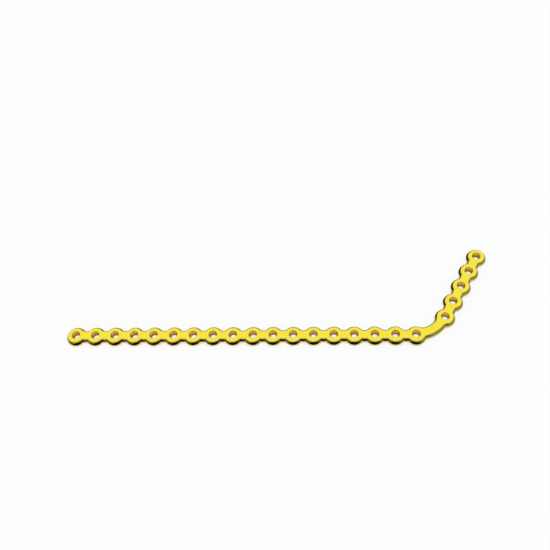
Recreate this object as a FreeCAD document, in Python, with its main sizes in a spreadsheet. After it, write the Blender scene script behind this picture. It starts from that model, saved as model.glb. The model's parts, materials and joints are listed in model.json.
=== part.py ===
"""An angled bone plate: one flat piece of titanium with screw holes, bent in its own plane.

A long arm and a short arm carry round eyelets at one pitch, each with a screw hole that is
countersunk on top. Scalloped necks join the eyelets, with a shallow groove across each neck, so
that the plate can be bent to the bone. A curved bar without a hole joins the two arms.

The underside lies on Z = 0 and the top faces +Z. The origin is on the axis of the long arm's last
hole, where the bend starts. The long arm runs from there along -X, and the short arm is turned
from +X towards +Y by the bend's angle.
"""
import FreeCAD, Part
import math
import os
import Sketcher
from FreeCAD import Vector

SIZES = [
    ("hole_pitch", 8.0, "from one hole to the next, along either arm"),
    ("long_arm_holes", 18, "number of holes in the long arm"),
    ("short_arm_holes", 5, "number of holes in the short arm"),
    ("plate_thickness", 2.7, "underside to top"),
    ("lobe_radius", 4.05, "outside of an eyelet"),
    ("neck_width", 5.1, "across the plate, between two scallops"),
    ("groove_width", 0.8, "along the arm, groove across a neck"),
    ("groove_depth", 0.25, "that groove, below the top"),
    ("bend_angle", 62.5, "from one arm's line to the other's, in degrees"),
    ("bend_radius", 11.85, "middle of the curved bar"),
    ("bend_width", 5.0, "width of the curved bar"),
    ("bend_inset", 0.6, "shift of the whole bar towards the inside of the bend"),
    ("bend_run_in", 0.45, "straight stretch from the long arm's last hole to the curve"),
    ("bend_run_out", 1.55, "straight stretch from the curve to the short arm's first hole"),
    ("bend_notch_radius", 1.5, "hollow where the bar's outer side meets an eyelet"),
    ("bend_inner_radius", 3.0, "hollow where the bar's inner side meets an eyelet"),
    ("top_edge_radius", 1.3, "rounding of the top's outer edge"),
    ("under_edge_radius", 0.3, "rounding of the underside's outer edge"),
    ("bore_radius", 1.4, "wall of a screw hole, at the thread's root"),
    ("countersink_radius", 1.75, "mouth of a screw hole, on top"),
    ("countersink_depth", 0.35, "height of the cone under that mouth"),
    ("lead_out", 0.15, "chamfer of a screw hole at the underside"),
]
SIZE = {alias: value for alias, value, note in SIZES}

# The turn between the arms, and the short arm's first hole, from the run in, curve and run out.
TURN = "sizes.bend_angle * 1deg"
SHORT_ARM_X = f"sizes.bend_run_in + sizes.bend_radius * sin({TURN}) + sizes.bend_run_out * cos({TURN})"
SHORT_ARM_Y = f"sizes.bend_radius * (1 - cos({TURN})) + sizes.bend_run_out * sin({TURN})"

# A scallop touches two neighbouring eyelets and leaves the neck its width.
SCALLOP_RADIUS = (
    "((sizes.hole_pitch / 2)^2 + (sizes.neck_width / 2)^2 - sizes.lobe_radius^2)"
    " / (2 * sizes.lobe_radius - sizes.neck_width)"
)
# Two upright faces that meet at a smaller turn than this, in degrees, flow into each other.
SMOOTH_TURN = 5.0
# Edges this near to a height, in millimetres, lie at it.
TOUCHING = 1e-4
# How a sketch numbers a line's or an arc's points, and its own origin and axes.
START, END, MIDDLE = range(1, 4)
ORIGIN = (-1, 1)
X_AXIS, Y_AXIS = -1, -2


def make_sheet(doc):
    """The driving sizes, as plain numbers with aliases, in millimetres and degrees."""
    sheet = doc.addObject("Spreadsheet::Sheet", "sizes")
    for row, (alias, value, note) in enumerate(SIZES, start=1):
        sheet.set(f"A{row}", alias)
        sheet.set(f"B{row}", str(value))
        sheet.set(f"C{row}", note)
        sheet.setAlias(f"B{row}", alias)
    return sheet


def new_sketch(body, name, role):
    """An empty sketch on one of the body's own origin planes."""
    sketch = body.newObject("Sketcher::SketchObject", name)
    plane = next(item for item in body.Origin.OriginFeatures if item.Role == role)
    sketch.AttachmentSupport = [(plane, "")]
    sketch.MapMode = "FlatFace"
    return sketch


def arm_sketch(body, name, arm):
    """A sketch on the underside, at an arm's hole next to the bend, with X along that arm."""
    sketch = new_sketch(body, name, "XY_Plane")
    half_turn = FreeCAD.Rotation(Vector(0, 0, 1), 180)
    sketch.AttachmentOffset = FreeCAD.Placement(Vector(), half_turn)
    if arm == "short":
        sketch.setExpression("AttachmentOffset.Base.x", f"({SHORT_ARM_X}) * 1mm")
        sketch.setExpression("AttachmentOffset.Base.y", f"({SHORT_ARM_Y}) * 1mm")
        sketch.setExpression("AttachmentOffset.Rotation.Angle", TURN)
    return sketch


def bind(sketch, constraint, expression):
    """Adds a constraint that has a size, and ties that size to the sheet."""
    index = sketch.addConstraint(constraint)
    sketch.setExpression(f"Constraints[{index}]", expression)


def arc(center, radius, first_angle, last_angle):
    """An arc in the sketch's plane, anticlockwise between two angles in degrees."""
    circle = Part.Circle(center, Vector(0, 0, 1), radius)
    return Part.ArcOfCircle(circle, math.radians(first_angle), math.radians(last_angle))


def polygon(sketch, points):
    """Closed straight lines through the points, joined at their ends. Gives the lines' numbers."""
    ends = points[1:] + points[:1]
    lines = [sketch.addGeometry(Part.LineSegment(a, b)) for a, b in zip(points, ends)]
    for line, following in zip(lines, lines[1:] + lines[:1]):
        sketch.addConstraint(Sketcher.Constraint("Coincident", line, END, following, START))
    return lines


def pad(body, name, sketch):
    """Material from the underside up to the top."""
    feature = body.newObject("PartDesign::Pad", name)
    feature.Profile = sketch
    feature.setExpression("Length", "sizes.plate_thickness")
    return feature


def repeat(body, name, feature, sketch, count):
    """Copies of a feature at the holes' pitch, along the X axis of an arm's sketch."""
    pattern = body.newObject("PartDesign::LinearPattern", name)
    pattern.Originals = [feature]
    pattern.Direction = (sketch, ["H_Axis"])
    pattern.Mode = "Spacing"
    pattern.setExpression("Offset", "sizes.hole_pitch")
    pattern.setExpression("Occurrences", count)
    body.Tip = pattern
    return pattern


def link_outline(sketch):
    """From the middle of one eyelet to the middle of the next, with a scallop on either side.

    Each side is half an eyelet's arc, the scallop's arc and half the next eyelet's arc, all
    flowing into each other. A line across each hole's middle closes the outline.
    """
    half_pitch = SIZE["hole_pitch"] / 2
    radius = SIZE["lobe_radius"]
    half_neck = SIZE["neck_width"] / 2
    hollow = (half_pitch**2 + half_neck**2 - radius**2) / (2 * (radius - half_neck))
    turn = math.degrees(math.acos(half_pitch / (radius + hollow)))
    near, far = Vector(0, 0), Vector(2 * half_pitch, 0)
    above, below = Vector(half_pitch, half_neck + hollow), Vector(half_pitch, -half_neck - hollow)

    near_top = sketch.addGeometry(arc(near, radius, turn, 90))
    top_hollow = sketch.addGeometry(arc(above, hollow, 180 + turn, 360 - turn))
    far_top = sketch.addGeometry(arc(far, radius, 90, 180 - turn))
    far_low = sketch.addGeometry(arc(far, radius, 180 + turn, 270))
    low_hollow = sketch.addGeometry(arc(below, hollow, turn, 180 - turn))
    near_low = sketch.addGeometry(arc(near, radius, -90, -turn))
    reach = Vector(0, radius)
    near_line = sketch.addGeometry(Part.LineSegment(near - reach, near + reach))
    far_line = sketch.addGeometry(Part.LineSegment(far + reach, far - reach))

    flowing = [
        (near_top, START, top_hollow, START),
        (top_hollow, END, far_top, END),
        (near_low, END, low_hollow, END),
        (low_hollow, START, far_low, START),
    ]
    joined = [
        (near_line, END, near_top, END),
        (near_line, START, near_low, START),
        (far_line, START, far_top, START),
        (far_line, END, far_low, END),
        (near_top, MIDDLE, *ORIGIN),
        (near_low, MIDDLE, *ORIGIN),
        (far_top, MIDDLE, far_low, MIDDLE),
    ]
    for pair in flowing:
        sketch.addConstraint(Sketcher.Constraint("Tangent", *pair))
    for pair in joined:
        sketch.addConstraint(Sketcher.Constraint("Coincident", *pair))
    for other in (near_low, far_top, far_low):
        sketch.addConstraint(Sketcher.Constraint("Equal", near_top, other))
    sketch.addConstraint(Sketcher.Constraint("Equal", top_hollow, low_hollow))
    sketch.addConstraint(Sketcher.Constraint("PointOnObject", far_top, MIDDLE, X_AXIS))
    sketch.addConstraint(Sketcher.Constraint("PointOnObject", near_line, END, Y_AXIS))
    sketch.addConstraint(Sketcher.Constraint("Vertical", near_line))
    sketch.addConstraint(Sketcher.Constraint("Vertical", far_line))
    sketch.addConstraint(Sketcher.Constraint("Vertical", far_line, START, far_top, MIDDLE))
    pitch = Sketcher.Constraint("DistanceX", *ORIGIN, far_top, MIDDLE, 2 * half_pitch)
    bind(sketch, pitch, "sizes.hole_pitch")
    bind(sketch, Sketcher.Constraint("Radius", near_top, radius), "sizes.lobe_radius")
    bind(sketch, Sketcher.Constraint("Radius", top_hollow, hollow), SCALLOP_RADIUS)


def end_eyelets(sketch, count):
    """The round outline of an arm's first and last eyelet."""
    radius = SIZE["lobe_radius"]
    length = SIZE["hole_pitch"] * (SIZE[count] - 1)
    first = sketch.addGeometry(Part.Circle(Vector(), Vector(0, 0, 1), radius))
    last = sketch.addGeometry(Part.Circle(Vector(length, 0), Vector(0, 0, 1), radius))
    sketch.addConstraint(Sketcher.Constraint("Coincident", first, MIDDLE, *ORIGIN))
    sketch.addConstraint(Sketcher.Constraint("PointOnObject", last, MIDDLE, X_AXIS))
    sketch.addConstraint(Sketcher.Constraint("Equal", first, last))
    bind(sketch, Sketcher.Constraint("Radius", first, radius), "sizes.lobe_radius")
    span = Sketcher.Constraint("DistanceX", *ORIGIN, last, MIDDLE, length)
    bind(sketch, span, f"sizes.hole_pitch * (sizes.{count} - 1)")


def bar_outline(sketch):
    """The bar between the arms: a straight stretch, a curve and a straight stretch, in one width.

    The sketch is set inwards, across the bend, so that the bar cuts the corner a little.
    """
    sketch.setExpression("AttachmentOffset.Base.x", f"-sizes.bend_inset * sin({TURN} / 2) * 1mm")
    sketch.setExpression("AttachmentOffset.Base.y", f"sizes.bend_inset * cos({TURN} / 2) * 1mm")
    run_in, run_out = SIZE["bend_run_in"], SIZE["bend_run_out"]
    radius, half = SIZE["bend_radius"], SIZE["bend_width"] / 2
    angle = math.radians(SIZE["bend_angle"])
    along = Vector(math.cos(angle), math.sin(angle))
    inwards = Vector(-math.sin(angle), math.cos(angle))
    center = Vector(run_in, radius)
    first_angle, last_angle = -90, SIZE["bend_angle"] - 90
    outer_bend = center - inwards * (radius + half)
    inner_bend = center - inwards * (radius - half)
    corners = {
        "outer start": Vector(0, -half),
        "outer curve": Vector(run_in, -half),
        "outer end": outer_bend + along * run_out,
        "inner end": inner_bend + along * run_out,
        "inner curve": Vector(run_in, half),
        "inner start": Vector(0, half),
    }

    def line(start, end):
        """A straight line of the outline, between two corners."""
        return sketch.addGeometry(Part.LineSegment(start, end))

    near = line(corners["inner start"], corners["outer start"])
    outer_in = line(corners["outer start"], corners["outer curve"])
    outer = sketch.addGeometry(arc(center, radius + half, first_angle, last_angle))
    outer_out = line(outer_bend, corners["outer end"])
    far = line(corners["outer end"], corners["inner end"])
    inner_out = line(corners["inner end"], inner_bend)
    inner = sketch.addGeometry(arc(center, radius - half, first_angle, last_angle))
    inner_in = line(corners["inner curve"], corners["inner start"])

    for pair in (
        (near, END, outer_in, START),
        (outer_out, END, far, START),
        (far, END, inner_out, START),
        (inner_in, END, near, START),
        (outer, MIDDLE, inner, MIDDLE),
    ):
        sketch.addConstraint(Sketcher.Constraint("Coincident", *pair))
    for pair in (
        (outer_in, END, outer, START),
        (outer, END, outer_out, START),
        (inner_out, END, inner, END),
        (inner, START, inner_in, START),
    ):
        sketch.addConstraint(Sketcher.Constraint("Tangent", *pair))
    sketch.addConstraint(Sketcher.Constraint("Symmetric", near, START, near, END, *ORIGIN))
    sketch.addConstraint(Sketcher.Constraint("Vertical", near))
    sketch.addConstraint(Sketcher.Constraint("Horizontal", outer_in))
    sketch.addConstraint(Sketcher.Constraint("Horizontal", inner_in))
    sketch.addConstraint(Sketcher.Constraint("Perpendicular", outer_out, far))
    sketch.addConstraint(Sketcher.Constraint("Parallel", outer_out, inner_out))
    bind(sketch, Sketcher.Constraint("Distance", near, 2 * half), "sizes.bend_width")
    bind(sketch, Sketcher.Constraint("Distance", outer_in, run_in), "sizes.bend_run_in")
    bind(sketch, Sketcher.Constraint("Distance", outer_out, run_out), "sizes.bend_run_out")
    turn = Sketcher.Constraint("Angle", outer_in, START, outer_out, START, angle)
    bind(sketch, turn, TURN)
    inner_radius = Sketcher.Constraint("Radius", inner, radius - half)
    bind(sketch, inner_radius, "sizes.bend_radius - sizes.bend_width / 2")


def groove_outline(sketch):
    """All that lies outside two neighbouring raised rings, from one hole's middle to the next."""
    pitch, side = SIZE["hole_pitch"], SIZE["lobe_radius"]
    ring = (pitch - SIZE["groove_width"]) / 2
    near, far = Vector(0, 0), Vector(pitch, 0)
    near_arc = sketch.addGeometry(arc(near, ring, -90, 90))
    far_arc = sketch.addGeometry(arc(far, ring, 90, 270))

    def line(start, end):
        """A straight line of the outline."""
        return sketch.addGeometry(Part.LineSegment(start, end))

    near_top = line(Vector(0, ring), Vector(0, side))
    top = line(Vector(0, side), Vector(pitch, side))
    far_top = line(Vector(pitch, side), Vector(pitch, ring))
    far_low = line(Vector(pitch, -ring), Vector(pitch, -side))
    low = line(Vector(pitch, -side), Vector(0, -side))
    near_low = line(Vector(0, -side), Vector(0, -ring))

    for pair in (
        (near_arc, END, near_top, START),
        (near_top, END, top, START),
        (top, END, far_top, START),
        (far_top, END, far_arc, START),
        (far_arc, END, far_low, START),
        (far_low, END, low, START),
        (low, END, near_low, START),
        (near_low, END, near_arc, START),
        (near_arc, MIDDLE, *ORIGIN),
    ):
        sketch.addConstraint(Sketcher.Constraint("Coincident", *pair))
    for upright in (near_top, near_low, far_top, far_low):
        sketch.addConstraint(Sketcher.Constraint("Vertical", upright))
    for level in (top, low):
        sketch.addConstraint(Sketcher.Constraint("Horizontal", level))
    sketch.addConstraint(Sketcher.Constraint("Equal", near_arc, far_arc))
    sketch.addConstraint(Sketcher.Constraint("PointOnObject", near_arc, END, Y_AXIS))
    sketch.addConstraint(Sketcher.Constraint("PointOnObject", near_arc, START, Y_AXIS))
    sketch.addConstraint(Sketcher.Constraint("PointOnObject", far_arc, MIDDLE, X_AXIS))
    sketch.addConstraint(Sketcher.Constraint("Vertical", far_arc, START, far_arc, MIDDLE))
    sketch.addConstraint(Sketcher.Constraint("Vertical", far_arc, END, far_arc, MIDDLE))
    ring_size = "(sizes.hole_pitch - sizes.groove_width) / 2"
    bind(sketch, Sketcher.Constraint("Radius", near_arc, ring), ring_size)
    bind(sketch, Sketcher.Constraint("Distance", top, pitch), "sizes.hole_pitch")
    bind(sketch, Sketcher.Constraint("DistanceY", *ORIGIN, top, START, side), "sizes.lobe_radius")
    bind(sketch, Sketcher.Constraint("DistanceY", low, END, *ORIGIN, side), "sizes.lobe_radius")


def hole_profile(sketch):
    """Half of a screw hole's section: the chamfer, the thread's bore and the cone up to the top."""
    bore, mouth = SIZE["bore_radius"], SIZE["countersink_radius"]
    top, cone, chamfer = SIZE["plate_thickness"], SIZE["countersink_depth"], SIZE["lead_out"]
    points = [
        Vector(0, 0),
        Vector(bore + chamfer, 0),
        Vector(bore, chamfer),
        Vector(bore, top - cone),
        Vector(mouth, top),
        Vector(0, top),
    ]
    under, lead, wall, slope, over, axis = polygon(sketch, points)
    sketch.addConstraint(Sketcher.Constraint("Coincident", under, START, *ORIGIN))
    for level in (under, over):
        sketch.addConstraint(Sketcher.Constraint("Horizontal", level))
    for upright in (wall, axis):
        sketch.addConstraint(Sketcher.Constraint("Vertical", upright))
    bind(sketch, Sketcher.Constraint("Distance", under, bore + chamfer), "sizes.bore_radius + sizes.lead_out")
    bind(sketch, Sketcher.Constraint("DistanceX", *ORIGIN, wall, START, bore), "sizes.bore_radius")
    bind(sketch, Sketcher.Constraint("DistanceY", *ORIGIN, wall, START, chamfer), "sizes.lead_out")
    bind(sketch, Sketcher.Constraint("DistanceY", slope, START, slope, END, cone), "sizes.countersink_depth")
    bind(sketch, Sketcher.Constraint("Distance", over, mouth), "sizes.countersink_radius")
    bind(sketch, Sketcher.Constraint("Distance", axis, top), "sizes.plate_thickness")


def turn_between(edge, faces):
    """The turn between two faces at the middle of their shared edge, in degrees."""
    middle = edge.valueAt((edge.FirstParameter + edge.LastParameter) / 2)
    normals = [face.normalAt(*face.Surface.parameter(middle)) for face in faces]
    return math.degrees(normals[0].getAngle(normals[1]))


def notch_edges(shape):
    """The upright edges where the bar meets an eyelet at an angle: outer side, then inner side."""
    outer, inner = [], []
    for number, edge in enumerate(shape.Edges, start=1):
        faces = shape.ancestorsOfType(edge, Part.Face)
        upright = edge.BoundBox.ZLength > edge.Length / 2
        if upright and turn_between(edge, faces) > SMOOTH_TURN:
            middle = edge.CenterOfMass
            reach = math.hypot(middle.x - SIZE["bend_run_in"], middle.y - SIZE["bend_radius"])
            side = outer if reach > SIZE["bend_radius"] else inner
            side.append(f"Edge{number}")
    return outer, inner


def level_edges(shape, height):
    """The edges that lie at one height, which are the outline of the top or of the underside."""
    chosen = []
    for number, edge in enumerate(shape.Edges, start=1):
        box = edge.BoundBox
        if max(abs(box.ZMin - height), abs(box.ZMax - height)) < TOUCHING:
            chosen.append(f"Edge{number}")
    return chosen


def fillet(body, name, base, edges, size):
    """Rounds the named edges of a feature to a radius from the sheet."""
    feature = body.newObject("PartDesign::Fillet", name)
    feature.Base = (base, edges)
    feature.setExpression("Radius", f"sizes.{size}")
    body.Document.recompute()
    return feature


def add_arm(body, arm):
    """One arm's outline: its links, patterned from hole to hole, and its two end eyelets."""
    count = f"{arm}_arm_holes"
    link = arm_sketch(body, f"{arm}_link_outline", arm)
    link_outline(link)
    first = pad(body, f"{arm}_link", link)
    repeat(body, f"{arm}_links", first, link, f"sizes.{count} - 1")
    ends = arm_sketch(body, f"{arm}_end_outline", arm)
    end_eyelets(ends, count)
    pad(body, f"{arm}_ends", ends)


def round_edges(body, base):
    """The hollows beside the bar, then the roundings of the top's and the underside's outline."""
    outer, inner = notch_edges(base.Shape)
    if len(outer) != 2 or len(inner) != 2:
        raise RuntimeError("the bar doesn't meet each eyelet in two corners")
    notches = fillet(body, "outer_hollows", base, outer, "bend_notch_radius")
    outer, inner = notch_edges(notches.Shape)
    hollows = fillet(body, "inner_hollows", notches, inner, "bend_inner_radius")
    top = level_edges(hollows.Shape, SIZE["plate_thickness"])
    rounded = fillet(body, "top_rounding", hollows, top, "top_edge_radius")
    under = level_edges(rounded.Shape, 0)
    fillet(body, "under_rounding", rounded, under, "under_edge_radius")


def add_neck_grooves(body, arm):
    """The shallow grooves across an arm's necks, which leave a raised ring about each hole."""
    outline = arm_sketch(body, f"{arm}_groove_outline", arm)
    outline.setExpression("AttachmentOffset.Base.z", "sizes.plate_thickness * 1mm")
    groove_outline(outline)
    first = body.newObject("PartDesign::Pocket", f"{arm}_groove")
    first.Profile = outline
    first.setExpression("Length", "sizes.groove_depth")
    repeat(body, f"{arm}_grooves", first, outline, f"sizes.{arm}_arm_holes - 1")


def add_screw_holes(body, arm):
    """An arm's screw holes, each turned about its own axis."""
    profile = new_sketch(body, f"{arm}_hole_profile", "XZ_Plane")
    if arm == "short":
        profile.setExpression("AttachmentOffset.Base.x", f"({SHORT_ARM_X}) * 1mm")
        profile.setExpression("AttachmentOffset.Base.z", f"-({SHORT_ARM_Y}) * 1mm")
    hole_profile(profile)
    first = body.newObject("PartDesign::Groove", f"{arm}_hole")
    first.Profile = profile
    first.ReferenceAxis = (profile, ["V_Axis"])
    first.Angle = 360
    line = body.Document.getObject(f"{arm}_link_outline")
    repeat(body, f"{arm}_holes", first, line, f"sizes.{arm}_arm_holes")


def add_plate(doc):
    """The whole plate, from its outline to its screw holes."""
    body = doc.addObject("PartDesign::Body", "bone_plate")
    body.Label = "bone_plate"
    add_arm(body, "long")
    outline = new_sketch(body, "bar_outline", "XY_Plane")
    bar_outline(outline)
    pad(body, "bar", outline)
    add_arm(body, "short")
    doc.recompute()
    round_edges(body, body.Tip)
    for cut in (add_neck_grooves, add_screw_holes):
        before = body.Shape.Volume
        for arm in ("long", "short"):
            cut(body, arm)
        doc.recompute()
        if body.Shape.Volume >= before:
            raise RuntimeError(f"{cut.__name__} took no material away")
    return body


def check(doc, body):
    """Every object has been worked out, and the plate is one valid solid."""
    for item in doc.Objects:
        if "Invalid" in item.State or "Error" in item.State:
            raise RuntimeError(f"{item.Name} failed: {item.State}")
    shape = body.Shape
    if shape.isNull() or not shape.isValid() or len(shape.Solids) != 1:
        raise RuntimeError(f"{body.Label} is not one valid solid")
    print(f"{body.Label}: {shape.Volume:.1f} mm3, {len(shape.Faces)} faces, {shape.BoundBox}")


doc = FreeCAD.newDocument("bone_plate")
make_sheet(doc)
doc.recompute()
plate = add_plate(doc)
check(doc, plate)
os.makedirs("parts", exist_ok=True)
plate.Shape.exportStep(f"parts/{plate.Label}.step")
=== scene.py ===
"""The angled bone plate in gold anodised titanium, on a pale floor in soft studio light.

The plate is one mesh. Each eyelet is a cell of rays that run from its threaded hole to the
outline, and the cells meet at the middles of the necks. A last cell makes the bar between the
arms. Low dark cards, which only the plate mirrors, mark its edges. Shade, highlights and a
reflection of the floor are also painted into the film's colour by slope, and shade into the bores.
The plate's sizes are in millimetres, and those of the studio and the camera in metres.
"""
import json
import math
import bmesh
import bpy
from mathutils import Matrix, Vector


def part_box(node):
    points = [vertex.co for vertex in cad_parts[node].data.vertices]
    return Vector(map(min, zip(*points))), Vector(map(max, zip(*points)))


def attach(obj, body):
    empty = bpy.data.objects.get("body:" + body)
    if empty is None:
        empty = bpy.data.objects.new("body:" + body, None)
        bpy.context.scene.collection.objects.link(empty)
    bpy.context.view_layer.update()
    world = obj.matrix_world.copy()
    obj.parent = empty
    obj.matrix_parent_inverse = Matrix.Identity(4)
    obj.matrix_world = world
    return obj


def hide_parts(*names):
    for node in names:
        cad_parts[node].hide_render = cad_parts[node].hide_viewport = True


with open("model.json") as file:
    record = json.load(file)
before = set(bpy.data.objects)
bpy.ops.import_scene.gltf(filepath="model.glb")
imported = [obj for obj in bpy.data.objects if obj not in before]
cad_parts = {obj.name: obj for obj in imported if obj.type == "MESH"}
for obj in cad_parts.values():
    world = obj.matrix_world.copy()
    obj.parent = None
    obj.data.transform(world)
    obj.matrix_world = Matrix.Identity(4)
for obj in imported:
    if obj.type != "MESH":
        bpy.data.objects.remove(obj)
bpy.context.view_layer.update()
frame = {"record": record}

MM = 0.001

# The eyelets and necks. The lobes are a hair smaller than the solid's, to stay inside its box, and
# the necks have straight sides, with a small hollow where they meet a lobe.
LOBE_RADIUS = 4.045
NECK_WIDTH = 5.1
NECK_HOLLOW = 0.5

# The bar between the arms, and the hollows where its outer and inner sides meet an eyelet.
BEND_ANGLE = math.radians(62.5)
BEND_RADIUS = 11.85
BEND_WIDTH = 5.0
BEND_INSET = 0.6
BEND_RUN_IN = 0.45
OUTER_HOLLOW = 1.0
INNER_HOLLOW = 3.0

# The section of the edge, which has a small rounding below.
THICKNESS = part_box("bone_plate")[1].z / MM
UNDER_ROUNDING = 0.3
UNDER_ANGLES = [math.radians(angle) for angle in (0, 30, 60, 90)]
# The top's edge turns down in arcs: each one's radius, the tilts it joins and its number of steps.
SHOULDER = (
    (1.1, 0, 54, 8),
    (4.2, 54, 73, 3),
    (0.1, 73, 90, 2),
)

# The grooves across the necks: their width at half their depth, their depth, and a slope's width.
GROOVE_WIDTH = 0.8
GROOVE_DEPTH = 0.18
GROOVE_SLOPE = 0.8

# The screw holes, from the underside up: a lead-out, a bore that widens, and a countersink.
LEAD_OUT = 0.15
BORE_TAPER = 0.4
BORE_RADIUS = 1.5
CONE_DEPTH = 0.31
MOUTH_RADIUS = 1.7
MOUTH_SOFTENING = 0.04
FOOT_RADIUS = BORE_RADIUS - BORE_TAPER + LEAD_OUT

# The thread, which fades out at the lead-out and halfway up the countersink.
THREAD_PITCH = 0.8
THREAD_HEIGHT = 0.12
THREAD_STEEPNESS = 1.2
THREAD_FADE = 0.3
THREAD_TOP = THICKNESS - CONE_DEPTH / 2

# How finely the mesh is divided.
NECK_STEPS = 3
STRAIGHT_STEPS = 2
HOLLOW_STEPS = 8
LOBE_STEPS = 11
BAR_STEPS = 24
THREAD_ROWS = 15
CONE_ROWS = 4
# Where the rows of an eyelet's top lie, from the hole's mouth to the edge's rounding.
TOP_ROWS = (0.0, 0.2, 0.4, 0.55, 0.67, 0.78, 0.89, 1.0)
# Points closer than this, in metres, are made one, and edges that turn by more than this stay sharp.
WELD = 2e-6
SHARP_EDGE = math.radians(40)

# The photograph's camera: what it looks at, from where and how far, and how it is rolled.
CAMERA_TARGET = Vector((-0.05655, 0.02963, 0.0))
CAMERA_DISTANCE = 0.32006
CAMERA_AZIMUTH = math.radians(9.33)
CAMERA_ELEVATION = math.radians(56.49)
CAMERA_ROLL = math.radians(-8.43)
LENS = 50.0
SENSOR = 36.0
CLIP_START, CLIP_END = 0.01, 10.0

# The floor: how far it reaches, how white it is, and how much of it glows to the eye.
FLOOR_REACH = 3.0
FLOOR_WHITE = 0.93
FLOOR_GLOW = 0.8
WHITE = (1.0, 1.0, 1.0)

# The colour and strength of the dark cards. They stay low, so that the flat top doesn't mirror them
# when it is seen from another side.
DARK = (1.0, 0.35, 0.1)
DARK_STRENGTH = 0.03
# The curved card in front, which the near edges mirror: its distance, its rises and half widths in
# degrees, and its number of steps.
FRONT_DISTANCE = 0.35
FRONT_SHAPE = ((0, 34), (12, 32))
FRONT_STEPS = 16
# The card that lies in front of the long arm, which the lower part of its near edges mirrors.
LOW_LEFT, LOW_RIGHT = -0.16, 0.01
LOW_NEAR, LOW_FAR = -0.0056, -0.30
LOW_HEIGHT = 0.0002
# The card that lies between the arms: how far it stays from their middles, how far it goes past the
# short arm's last hole, and where it ends behind.
BETWEEN_GAP = 0.0056
BETWEEN_REACH = 0.008
BETWEEN_FAR = 0.06
# The upright card behind, which the far edges mirror.
BACK_LEFT, BACK_RIGHT = -0.23, 0.09
BACK_AWAY = 0.165
BACK_HEIGHT = 0.035

# The film's colour by how level the surface lies, from upright sides to the flat top. Only the flat
# top has the film's own gold: the paler, greyer sides are a painted reflection of the floor, the
# dark olive band where the edge turns steeply is painted shade, and the paler band where it starts to
# round is a painted highlight.
FILM_AND_PAINTED_LIGHT_BY_SLOPE = (
    (0.08, (0.76, 0.68, 0.36)),
    (0.24, (0.66, 0.57, 0.22)),
    (0.34, (0.55, 0.45, 0.10)),
    (0.42, (0.26, 0.21, 0.03)),
    (0.58, (0.26, 0.21, 0.03)),
    (0.74, (0.40, 0.33, 0.05)),
    (0.86, (0.84, 0.68, 0.10)),
    (0.91, (0.92, 0.75, 0.10)),
    (0.935, (0.95, 0.78, 0.12)),
    (0.96, (0.95, 0.79, 0.10)),
    (0.985, (0.93, 0.80, 0.055)),
)
# The film's colour in the threaded bores, from the mouth down, which darkens deeper in as painted shade.
BORE_FILM_AND_PAINTED_SHADE = (
    (0.0, (0.95, 0.66, 0.18)),
    (0.5, (0.80, 0.54, 0.13)),
    (0.75, (0.30, 0.17, 0.04)),
)
# The film's drift in hue over the plate, as a tint over its noise.
HUE_DRIFT = (
    (0.32, (1.0, 0.91, 0.8)),
    (0.5, (1.0, 1.0, 1.0)),
    (0.68, (0.96, 1.0, 0.9)),
)
# The roughness over its noise.
POLISH = ((0.3, 0.10), (0.7, 0.17))
# The metal's fine grain as a bump: its strength, and its height in metres.
GRAIN_STRENGTH = 0.06
GRAIN_HEIGHT = 0.00002
# The scale, in cells a metre, and the detail of each noise.
HUE_NOISE = (700.0, 2.0)
POLISH_NOISE = (900.0, 4.0)
GRAIN_NOISE = (4000.0, 3.0)
# The numbers of a Mix node's sockets for colours, because other sockets of it have the same names.
MIX_FACTOR, MIX_FIRST, MIX_SECOND, MIX_RESULT = 0, 6, 7, 2


def direction(angle):
    """The unit vector at an angle in the plan."""
    return Vector((math.cos(angle), math.sin(angle)))


def angle_of(vector):
    """The direction of a plan vector, in radians."""
    return math.atan2(vector.y, vector.x)


def left_of(vector):
    """The vector turned left by a right angle."""
    return Vector((-vector.y, vector.x))


def smooth_step(value):
    """From 0 to 1 with a level start and end."""
    value = min(max(value, 0.0), 1.0)
    return value * value * (3 - 2 * value)


def arc_angles(first, last, steps):
    """Angles from one direction to another, the short way round."""
    start = angle_of(first)
    turn = (angle_of(last) - start + math.pi) % (2 * math.pi) - math.pi
    return [start + turn * step / steps for step in range(steps + 1)]


def edge_section():
    """Distance in from the outline and height of the edge's section, from the top round to below."""
    steps = []
    for radius, first, last, count in SHOULDER:
        tilts = [math.radians(first + (last - first) * step / count) for step in range(count + 1)]
        for one, other in zip(tilts, tilts[1:]):
            outwards = radius * (math.sin(other) - math.sin(one))
            steps.append((outwards, radius * (math.cos(one) - math.cos(other))))
    rows = [(sum(outwards for outwards, down in steps), THICKNESS)]
    for outwards, down in steps:
        rows.append((rows[-1][0] - outwards, rows[-1][1] - down))
    for angle in UNDER_ANGLES:
        rows.append((UNDER_ROUNDING * (1 - math.cos(angle)), UNDER_ROUNDING * (1 - math.sin(angle))))
    return rows


def hole_rows():
    """Radius and height of a screw hole's wall at the thread's root, from the underside up."""
    cone_foot = THICKNESS - CONE_DEPTH
    slope = (MOUTH_RADIUS - BORE_RADIUS) / CONE_DEPTH
    rows = [(FOOT_RADIUS, 0.0)]
    for step in range(THREAD_ROWS + 1):
        share = step / THREAD_ROWS
        height = LEAD_OUT + (cone_foot - LEAD_OUT) * share
        rows.append((BORE_RADIUS - BORE_TAPER * (1 - share), height))
    top = THICKNESS - MOUTH_SOFTENING
    for step in range(1, CONE_ROWS + 1):
        height = cone_foot + (top - cone_foot) * step / CONE_ROWS
        rows.append((BORE_RADIUS + (height - cone_foot) * slope, height))
    return rows


# The two sections, and the height to which the shoulder's arcs come down.
SECTION = edge_section()
HOLE = hole_rows()
WALL_TOP = SECTION[sum(count for radius, first, last, count in SHOULDER)][1]


def edge_sample(point, normal):
    """A place on the outline: where its section starts on top and ends on the underside."""
    return {
        "edge": point,
        "normal": normal,
        "top": point - normal * SECTION[0][0],
        "under": point - normal * UNDER_ROUNDING,
    }


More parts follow.
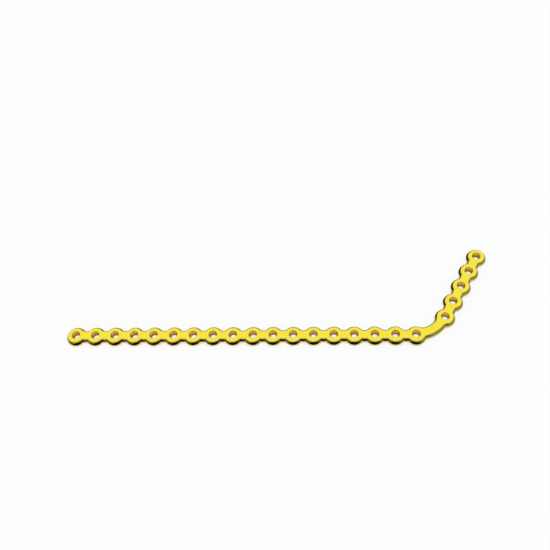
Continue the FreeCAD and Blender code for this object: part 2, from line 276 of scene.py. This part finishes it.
def outline_arc(center, radius, first, last, steps, hollow=False):
    """Samples of the outline along an arc. A hollow arc has the metal outside it."""
    samples = []
    for angle in arc_angles(first, last, steps):
        ray = direction(angle)
        samples.append(edge_sample(center + ray * radius, -ray if hollow else ray))
    return samples


def cut_samples(middle, corner):
    """Samples of a line across a neck or the bar, from its middle up to the edge's sample."""
    samples = []
    for step in range(NECK_STEPS):
        share = step / NECK_STEPS
        top = middle["top"].lerp(corner["top"], share)
        under = middle["under"].lerp(corner["under"], share)
        samples.append({"edge": None, "top": top, "under": under})
    return samples


def touching_center(first, first_reach, second, second_reach, side):
    """The center at one distance from the first point and another from the second."""
    between = second - first
    gap = between.length
    along = (first_reach**2 - second_reach**2 + gap**2) / (2 * gap)
    across = math.sqrt(first_reach**2 - along**2)
    axis = between / gap
    return first + axis * along + left_of(axis) * across * side


def hole_centers():
    """The screw holes' plan positions in millimetres, in the order of their names."""
    holes = [m for m in frame["record"]["mounts"] if m["name"].startswith("screw_hole_")]
    holes.sort(key=lambda mount: mount["name"])
    return [Vector(mount["pos_m"][:2]) / MM for mount in holes]


def cap_quarter(center, end, side):
    """A quarter of an eyelet at an arm's free end, from its end to its side."""
    return outline_arc(center, LOBE_RADIUS, end, side, NECK_STEPS + HOLLOW_STEPS + LOBE_STEPS)


def joined_quarter(center, side, middle, hollow):
    """A quarter of an eyelet from a line across the plate, past a hollow arc, to its side."""
    cut = cut_samples(middle, hollow[0])
    touch = (hollow[-1]["edge"] - center).normalized()
    lobe = outline_arc(center, LOBE_RADIUS, touch, side, LOBE_STEPS)
    return cut + hollow + lobe[1:]


def neck_quarter(center, end, side, pitch):
    """A quarter of an eyelet from a neck's middle, along its straight side, to the eyelet's side."""
    half = NECK_WIDTH / 2
    along = math.sqrt((LOBE_RADIUS + NECK_HOLLOW) ** 2 - (half + NECK_HOLLOW) ** 2)
    hollow_center = center + end * along + side * (half + NECK_HOLLOW)
    to_lobe = (center - hollow_center).normalized()
    hollow = outline_arc(hollow_center, NECK_HOLLOW, -side, to_lobe, HOLLOW_STEPS, hollow=True)
    middle = center + end * pitch / 2
    straight = []
    for step in range(STRAIGHT_STEPS):
        point = (middle + side * half).lerp(hollow[0]["edge"], step / STRAIGHT_STEPS)
        straight.append(edge_sample(point, side))
    return joined_quarter(center, side, {"top": middle, "under": middle}, straight + hollow)


def bar_hollow(center, bend_center, inner, forward):
    """The hollow arc where the bar meets an eyelet, from the bar's side to the eyelet."""
    radius = INNER_HOLLOW if inner else OUTER_HOLLOW
    if inner:
        reach = BEND_RADIUS - BEND_WIDTH / 2 - radius
    else:
        reach = BEND_RADIUS + BEND_WIDTH / 2 + radius
    side = -1 if forward else 1
    hollow_center = touching_center(center, LOBE_RADIUS + radius, bend_center, reach, side)
    away = (hollow_center - bend_center).normalized()
    to_bar = away if inner else -away
    to_lobe = (center - hollow_center).normalized()
    return outline_arc(hollow_center, radius, to_bar, to_lobe, HOLLOW_STEPS, hollow=True)


def bar_end(center, bend_center, forward):
    """The bar's joint with an eyelet: both hollow arcs and the middle of the line between them."""
    inner = bar_hollow(center, bend_center, True, forward)
    outer = bar_hollow(center, bend_center, False, forward)
    middle = {key: (inner[0][key] + outer[0][key]) / 2 for key in ("top", "under")}
    return {"inner": inner, "outer": outer, "middle": middle}


def groove_drop(distance, ring):
    """How far the top lies below its level at a distance from a hole with a raised ring."""
    return GROOVE_DEPTH * smooth_step((distance - ring) / GROOVE_SLOPE + 0.5)


def thread_ridge(angle, height):
    """How far the thread stands in from its root at an angle and height."""
    turn = (height / THREAD_PITCH - angle / (2 * math.pi)) % 1.0
    tooth = 1 - abs(2 * turn - 1)
    flank = smooth_step((tooth - 0.5) * THREAD_STEEPNESS + 0.5)
    from_ends = min(height - LEAD_OUT, THREAD_TOP - height)
    return THREAD_HEIGHT * flank * smooth_step(from_ends / THREAD_FADE)


def add_point(mesh, plan, height):
    """One vertex, from its plan position and height in millimetres."""
    return mesh.verts.new((plan.x * MM, plan.y * MM, height * MM))


def add_strip(mesh, one, other):
    """The faces between two rows of as many vertices."""
    for corners in zip(one, one[1:], other[1:], other):
        mesh.faces.new(corners)


def edge_column(mesh, sample, drop):
    """The vertices of the edge's section at one sample, from the top to the underside."""
    squeeze = 1 - drop(sample["top"]) / (THICKNESS - WALL_TOP)
    column = []
    for inset, height in SECTION:
        plan = sample["edge"] - sample["normal"] * inset
        if height > WALL_TOP:
            height = WALL_TOP + (height - WALL_TOP) * squeeze
        column.append(add_point(mesh, plan, height))
    return column


def hole_column(mesh, center, angle):
    """The vertices of a hole's wall at one angle, from the underside up, marked for the film and its
    painted shade.
    """
    in_bore = mesh.verts.layers.float["in_bore"]
    depth = mesh.verts.layers.float["depth"]
    column = []
    for radius, height in HOLE:
        reach = radius - thread_ridge(angle, height)
        point = add_point(mesh, center + direction(angle) * reach, height)
        point[in_bore] = 1.0 if radius <= BORE_RADIUS else 0.0
        point[depth] = 1 - height / THICKNESS
        column.append(point)
    return column


def add_eyelet(mesh, center, samples, drop):
    """An eyelet's cell: its hole's wall, its top, its edge and its underside."""
    mouth = MOUTH_RADIUS + MOUTH_SOFTENING
    tops, unders, edges = [], [], []
    for sample in samples:
        ray = sample["top"] - center
        outwards = direction(angle_of(ray))
        top = hole_column(mesh, center, angle_of(ray))
        for share in TOP_ROWS:
            plan = center + outwards * (mouth + (ray.length - mouth) * share)
            top.append(add_point(mesh, plan, THICKNESS - drop(plan)))
        tops.append(top)
        edges.append(edge_column(mesh, sample, drop) if sample["edge"] else None)
        foot = center + outwards * FOOT_RADIUS
        unders.append([add_point(mesh, plan, 0.0) for plan in (foot, sample["under"])])
    for index in range(len(samples)):
        following = (index + 1) % len(samples)
        for columns in (tops, unders, edges):
            if columns[index] and columns[following]:
                add_strip(mesh, columns[index], columns[following])


def ring_of(quarters):
    """The samples all round a cell, from four quarters that each run from an end to a side."""
    ring = []
    for index, quarter in enumerate(quarters):
        ring += (quarter[::-1] if index % 2 else quarter)[:-1]
    return ring


def add_bar(mesh, bend_center, start, end):
    """The bar's cell, between the lines where the two eyelets' cells stop."""
    sides = []
    for name, outwards in (("inner", -BEND_WIDTH / 2), ("outer", BEND_WIDTH / 2)):
        first = start[name][0]["edge"] - bend_center
        last = end[name][0]["edge"] - bend_center
        radius = BEND_RADIUS + outwards
        sides.append(outline_arc(bend_center, radius, first, last, BAR_STEPS, hollow=name == "inner"))
    steps = 2 * NECK_STEPS
    shares = [step / steps for step in range(steps + 1)]
    tops, unders, edges = [], [], ([], [])
    for inner, outer in zip(*sides):
        for columns, key, height in ((tops, "top", THICKNESS), (unders, "under", 0.0)):
            line = [inner[key].lerp(outer[key], share) for share in shares]
            columns.append([add_point(mesh, plan, height) for plan in line])
        for columns, sample in zip(edges, (inner, outer)):
            columns.append(edge_column(mesh, sample, lambda plan: 0.0))
    for columns in (tops, unders, *edges):
        for one, other in zip(columns, columns[1:]):
            add_strip(mesh, one, other)


def plate_mesh():
    """The whole plate as one closed mesh."""
    centers = hole_centers()
    pitch = (centers[1] - centers[0]).length
    ring_radius = (pitch - GROOVE_WIDTH) / 2
    last_long = next(i for i, c in enumerate(centers) if c.length < MOUTH_RADIUS)
    first_short = last_long + 1
    bend_center = Vector((BEND_RUN_IN, BEND_RADIUS))
    bend_center += left_of(direction(BEND_ANGLE / 2)) * BEND_INSET
    # The ends that meet the bar and those that are free: an eyelet's number, and 1 for its forward
    # end or -1 for its other one.
    bar_ends = {
        (last_long, 1): bar_end(centers[last_long], bend_center, True),
        (first_short, -1): bar_end(centers[first_short], bend_center, False),
    }
    free_ends = ((0, -1), (len(centers) - 1, 1))
    mesh = bmesh.new()
    mesh.verts.layers.float.new("in_bore")
    mesh.verts.layers.float.new("depth")
    for index, center in enumerate(centers):
        along = direction(0.0 if index <= last_long else BEND_ANGLE)
        left = left_of(along)

        def drop(plan):
            """The grooves' depth at a place of this cell. There is none towards the bar."""
            forward = 1 if (plan - center).dot(along) > 0 else -1
            if (index, forward) in bar_ends:
                return 0.0
            return groove_drop((plan - center).length, ring_radius)

        def quarter(forward, leftward):
            """The quarter towards the next hole or the last one, on the left or the right."""
            end, side = along * forward, left * leftward
            if (index, forward) in free_ends:
                return cap_quarter(center, end, side)
            if (index, forward) in bar_ends:
                joint = bar_ends[index, forward]
                hollow = joint["inner" if leftward > 0 else "outer"]
                return joined_quarter(center, side, joint["middle"], hollow)
            return neck_quarter(center, end, side, pitch)

        ring = ring_of([quarter(1, 1), quarter(-1, 1), quarter(-1, -1), quarter(1, -1)])
        add_eyelet(mesh, center, ring, drop)
    add_bar(mesh, bend_center, bar_ends[last_long, 1], bar_ends[first_short, -1])
    bmesh.ops.remove_doubles(mesh, verts=mesh.verts, dist=WELD)
    bmesh.ops.recalc_face_normals(mesh, faces=mesh.faces)
    return mesh


def add_object(name, data):
    """An object in the scene from a mesh or a camera."""
    thing = bpy.data.objects.new(name, data)
    bpy.context.scene.collection.objects.link(thing)
    return thing


def make_plate():
    """The plate's object, riding with the solid that it stands for."""
    mesh = plate_mesh()
    open_edges = sum(1 for edge in mesh.edges if len(edge.link_faces) != 2)
    print("plate mesh:", len(mesh.verts), "vertices,", len(mesh.faces), "faces,", open_edges, "open edges")
    data = bpy.data.meshes.new("plate")
    mesh.to_mesh(data)
    mesh.free()
    data.polygons.foreach_set("use_smooth", [True] * len(data.polygons))
    data.set_sharp_from_angle(angle=SHARP_EDGE)
    plate = add_object("plate", data)
    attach(plate, "root")
    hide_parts("bone_plate")
    return plate


def new_material(name):
    """A material and its node tree."""
    material = bpy.data.materials.new(name)
    material.use_nodes = True
    return material, material.node_tree


def feed(tree, socket, value):
    """Gives a socket a number, a colour or another node's output."""
    if isinstance(value, (int, float)):
        socket.default_value = value
    elif isinstance(value, tuple):
        socket.default_value = (*value, 1.0)
    else:
        tree.links.new(value, socket)


def math_node(tree, operation, *values):
    """A Math node over outputs or plain numbers."""
    node = tree.nodes.new("ShaderNodeMath")
    node.operation = operation
    for socket, value in zip(node.inputs, values):
        feed(tree, socket, value)
    return node.outputs["Value"]


def ramp_node(tree, value, stops):
    """A Color Ramp over a value, with stops of place and colour."""
    node = tree.nodes.new("ShaderNodeValToRGB")
    ramp = node.color_ramp
    while len(ramp.elements) < len(stops):
        ramp.elements.new(1.0)
    for element, (place, colour) in zip(ramp.elements, stops):
        element.position = place
        element.color = (*colour, 1.0)
    feed(tree, node.inputs["Fac"], value)
    return node.outputs["Color"]


def noise_node(tree, place, scale, detail):
    """A Noise texture over object coordinates."""
    node = tree.nodes.new("ShaderNodeTexNoise")
    feed(tree, node.inputs["Scale"], scale)
    feed(tree, node.inputs["Detail"], detail)
    feed(tree, node.inputs["Vector"], place)
    return node.outputs["Fac"]


def blend_colours(tree, kind, factor, first, second):
    """A Mix node for two colours."""
    node = tree.nodes.new("ShaderNodeMix")
    node.data_type = "RGBA"
    node.blend_type = kind
    for number, value in ((MIX_FACTOR, factor), (MIX_FIRST, first), (MIX_SECOND, second)):
        feed(tree, node.inputs[number], value)
    return node.outputs[MIX_RESULT]


def attribute_node(tree, name):
    """The value of one of the mesh's own layers."""
    node = tree.nodes.new("ShaderNodeAttribute")
    node.attribute_name = name
    return node.outputs["Fac"]


def glow_node(tree, colour, strength):
    """A plain glow in one colour."""
    node = tree.nodes.new("ShaderNodeEmission")
    feed(tree, node.inputs["Color"], colour)
    feed(tree, node.inputs["Strength"], strength)
    return node.outputs["Emission"]


def make_titanium():
    """Polished titanium, gold anodised, shifting a little in hue over the plate, with painted light and
    shade.
    """
    material, tree = new_material("anodised_titanium")
    shader = tree.nodes["Principled BSDF"]
    feed(tree, shader.inputs["Metallic"], 1.0)
    coordinates = tree.nodes.new("ShaderNodeTexCoord")
    place = coordinates.outputs["Object"]

    normal = tree.nodes.new("ShaderNodeSeparateXYZ")
    feed(tree, normal.inputs["Vector"], coordinates.outputs["Normal"])
    level = math_node(tree, "ABSOLUTE", normal.outputs["Z"])
    # Shade, highlights and a reflection of the floor are painted into the film's colour by slope.
    film_and_painted_light = ramp_node(tree, level, FILM_AND_PAINTED_LIGHT_BY_SLOPE)
    hue = ramp_node(tree, noise_node(tree, place, *HUE_NOISE), HUE_DRIFT)
    film_and_painted_light = blend_colours(tree, "MULTIPLY", 1.0, film_and_painted_light, hue)
    # Deeper in the bores the colour darkens: painted shade.
    bore_film_and_painted_shade = ramp_node(tree, attribute_node(tree, "depth"), BORE_FILM_AND_PAINTED_SHADE)
    film_and_painted_light = blend_colours(tree, "MIX", attribute_node(tree, "in_bore"), film_and_painted_light, bore_film_and_painted_shade)
    feed(tree, shader.inputs["Base Color"], film_and_painted_light)

    stops = [(share, (roughness, roughness, roughness)) for share, roughness in POLISH]
    polish = ramp_node(tree, noise_node(tree, place, *POLISH_NOISE), stops)
    feed(tree, shader.inputs["Roughness"], polish)

    bump = tree.nodes.new("ShaderNodeBump")
    feed(tree, bump.inputs["Strength"], GRAIN_STRENGTH)
    feed(tree, bump.inputs["Distance"], GRAIN_HEIGHT)
    feed(tree, bump.inputs["Height"], noise_node(tree, place, *GRAIN_NOISE))
    feed(tree, shader.inputs["Normal"], bump.outputs["Normal"])
    return material


def seen_rays(tree):
    """One where a camera, glossy or transmission ray asks, and otherwise zero."""
    rays = tree.nodes.new("ShaderNodeLightPath")
    total = math_node(tree, "ADD", rays.outputs["Is Camera Ray"], rays.outputs["Is Glossy Ray"])
    total = math_node(tree, "ADD", total, rays.outputs["Is Transmission Ray"])
    return math_node(tree, "MINIMUM", total, 1.0)


def stage_object(name, points, faces, material):
    """A part of the studio, from points in metres, faces and a material."""
    data = bpy.data.meshes.new(name)
    data.from_pydata(points, [], faces)
    data.materials.append(material)
    thing = add_object(name, data)
    return thing


def make_floor():
    """A plain pale floor, which glows a little to the eye and keeps the plate's soft shadow."""
    material, tree = new_material("floor")
    shader = tree.nodes["Principled BSDF"]
    feed(tree, shader.inputs["Base Color"], (FLOOR_WHITE, FLOOR_WHITE, FLOOR_WHITE))
    feed(tree, shader.inputs["Roughness"], 1.0)
    feed(tree, shader.inputs["Specular IOR Level"], 0.0)
    glowing = math_node(tree, "MULTIPLY", seen_rays(tree), FLOOR_GLOW)
    mix = tree.nodes.new("ShaderNodeMixShader")
    for socket, value in zip(mix.inputs, (glowing, shader.outputs["BSDF"], glow_node(tree, WHITE, 1.0))):
        feed(tree, socket, value)
    feed(tree, tree.nodes["Material Output"].inputs["Surface"], mix.outputs["Shader"])
    reach = FLOOR_REACH
    corners = [(-reach, -reach, 0), (reach, -reach, 0), (reach, reach, 0), (-reach, reach, 0)]
    stage_object("floor", corners, [(0, 1, 2, 3)], material)


def make_world():
    """Even white light from all round."""
    world = bpy.data.worlds.new("studio")
    bpy.context.scene.world = world
    world.use_nodes = True
    background = world.node_tree.nodes["Background"]
    feed(world.node_tree, background.inputs["Color"], WHITE)
    feed(world.node_tree, background.inputs["Strength"], 1.0)


def dark_card(name, points, faces=None):
    """A dark card, of one face unless more are given.

    It is only mirrored: the camera doesn't see it, and it neither lights the floor nor shades it.
    """
    material, tree = new_material(name)
    tree.nodes.remove(tree.nodes["Principled BSDF"])
    glow = glow_node(tree, DARK, DARK_STRENGTH)
    feed(tree, tree.nodes["Material Output"].inputs["Surface"], glow)
    card = stage_object(name, points, faces or [tuple(range(len(points)))], material)
    card.visible_camera = False
    card.visible_diffuse = False
    card.visible_shadow = False


def lying_card(name, corners):
    """A dark card that lies on the floor, from its corners in plan."""
    dark_card(name, [(x, y, LOW_HEIGHT) for x, y in corners])


def front_direction(rise, aside):
    """The direction of a place on the front card, by its rise and its turn to the right."""
    front = Vector((math.sin(CAMERA_AZIMUTH), -math.cos(CAMERA_AZIMUTH), 0.0))
    right = Vector((math.cos(CAMERA_AZIMUTH), math.sin(CAMERA_AZIMUTH), 0.0))
    up = Vector((0.0, 0.0, 1.0))
    upright = front * math.cos(rise) + up * math.sin(rise)
    return upright * math.cos(aside) + right * math.sin(aside)


def make_front_card():
    """The low curved card on the camera's side."""
    points = []
    for rise, half in FRONT_SHAPE:
        for column in range(FRONT_STEPS + 1):
            aside = math.radians(half * (2 * column / FRONT_STEPS - 1))
            points.append(CAMERA_TARGET + front_direction(math.radians(rise), aside) * FRONT_DISTANCE)
    above = FRONT_STEPS + 1
    faces = [(start, start + 1, start + 1 + above, start + above) for start in range(FRONT_STEPS)]
    dark_card("front_card", points, faces)


def make_low_card():
    """The card that lies in front of the long arm."""
    corners = [(LOW_LEFT, LOW_FAR), (LOW_RIGHT, LOW_FAR), (LOW_RIGHT, LOW_NEAR), (LOW_LEFT, LOW_NEAR)]
    lying_card("low_card", corners)


def make_between_card():
    """The card that lies between the arms, which their edges there mirror."""
    centers = [center * MM for center in hole_centers()]
    short = [center for center in centers if center.y > BETWEEN_GAP]
    along = (short[-1] - short[0]).normalized()
    aside = left_of(along) * BETWEEN_GAP
    lying_card("between_card", [
        (LOW_LEFT, BETWEEN_GAP),
        (-BETWEEN_GAP, BETWEEN_GAP),
        tuple(short[0] + aside),
        tuple(short[-1] + aside + along * BETWEEN_REACH),
        (0.0, BETWEEN_FAR),
        (LOW_LEFT, BETWEEN_FAR),
    ])


def make_back_card():
    """The low upright card behind the plate."""
    corners = [(BACK_LEFT, 0.0), (BACK_RIGHT, 0.0), (BACK_RIGHT, BACK_HEIGHT), (BACK_LEFT, BACK_HEIGHT)]
    dark_card("back_card", [(x, BACK_AWAY, height) for x, height in corners])


def make_camera():
    """The camera at the photograph's place."""
    data = bpy.data.cameras.new("camera")
    data.lens = LENS
    data.sensor_width = SENSOR
    data.clip_start = CLIP_START
    data.clip_end = CLIP_END
    camera = add_object("camera", data)
    level = math.cos(CAMERA_ELEVATION)
    back = Vector((
        math.sin(CAMERA_AZIMUTH) * level,
        -math.cos(CAMERA_AZIMUTH) * level,
        math.sin(CAMERA_ELEVATION),
    ))
    right = Vector((math.cos(CAMERA_AZIMUTH), math.sin(CAMERA_AZIMUTH), 0.0))
    up = back.cross(right)
    rolled_right = right * math.cos(CAMERA_ROLL) + up * math.sin(CAMERA_ROLL)
    rolled_up = up * math.cos(CAMERA_ROLL) - right * math.sin(CAMERA_ROLL)
    place = Matrix((rolled_right, rolled_up, back)).transposed().to_4x4()
    place.translation = CAMERA_TARGET + back * CAMERA_DISTANCE
    camera.matrix_world = place
    bpy.context.scene.camera = camera


plate = make_plate()
plate.data.materials.append(make_titanium())
make_floor()
make_world()
make_front_card()
make_low_card()
make_between_card()
make_back_card()
make_camera()
bpy.context.scene.view_settings.view_transform = "Standard"
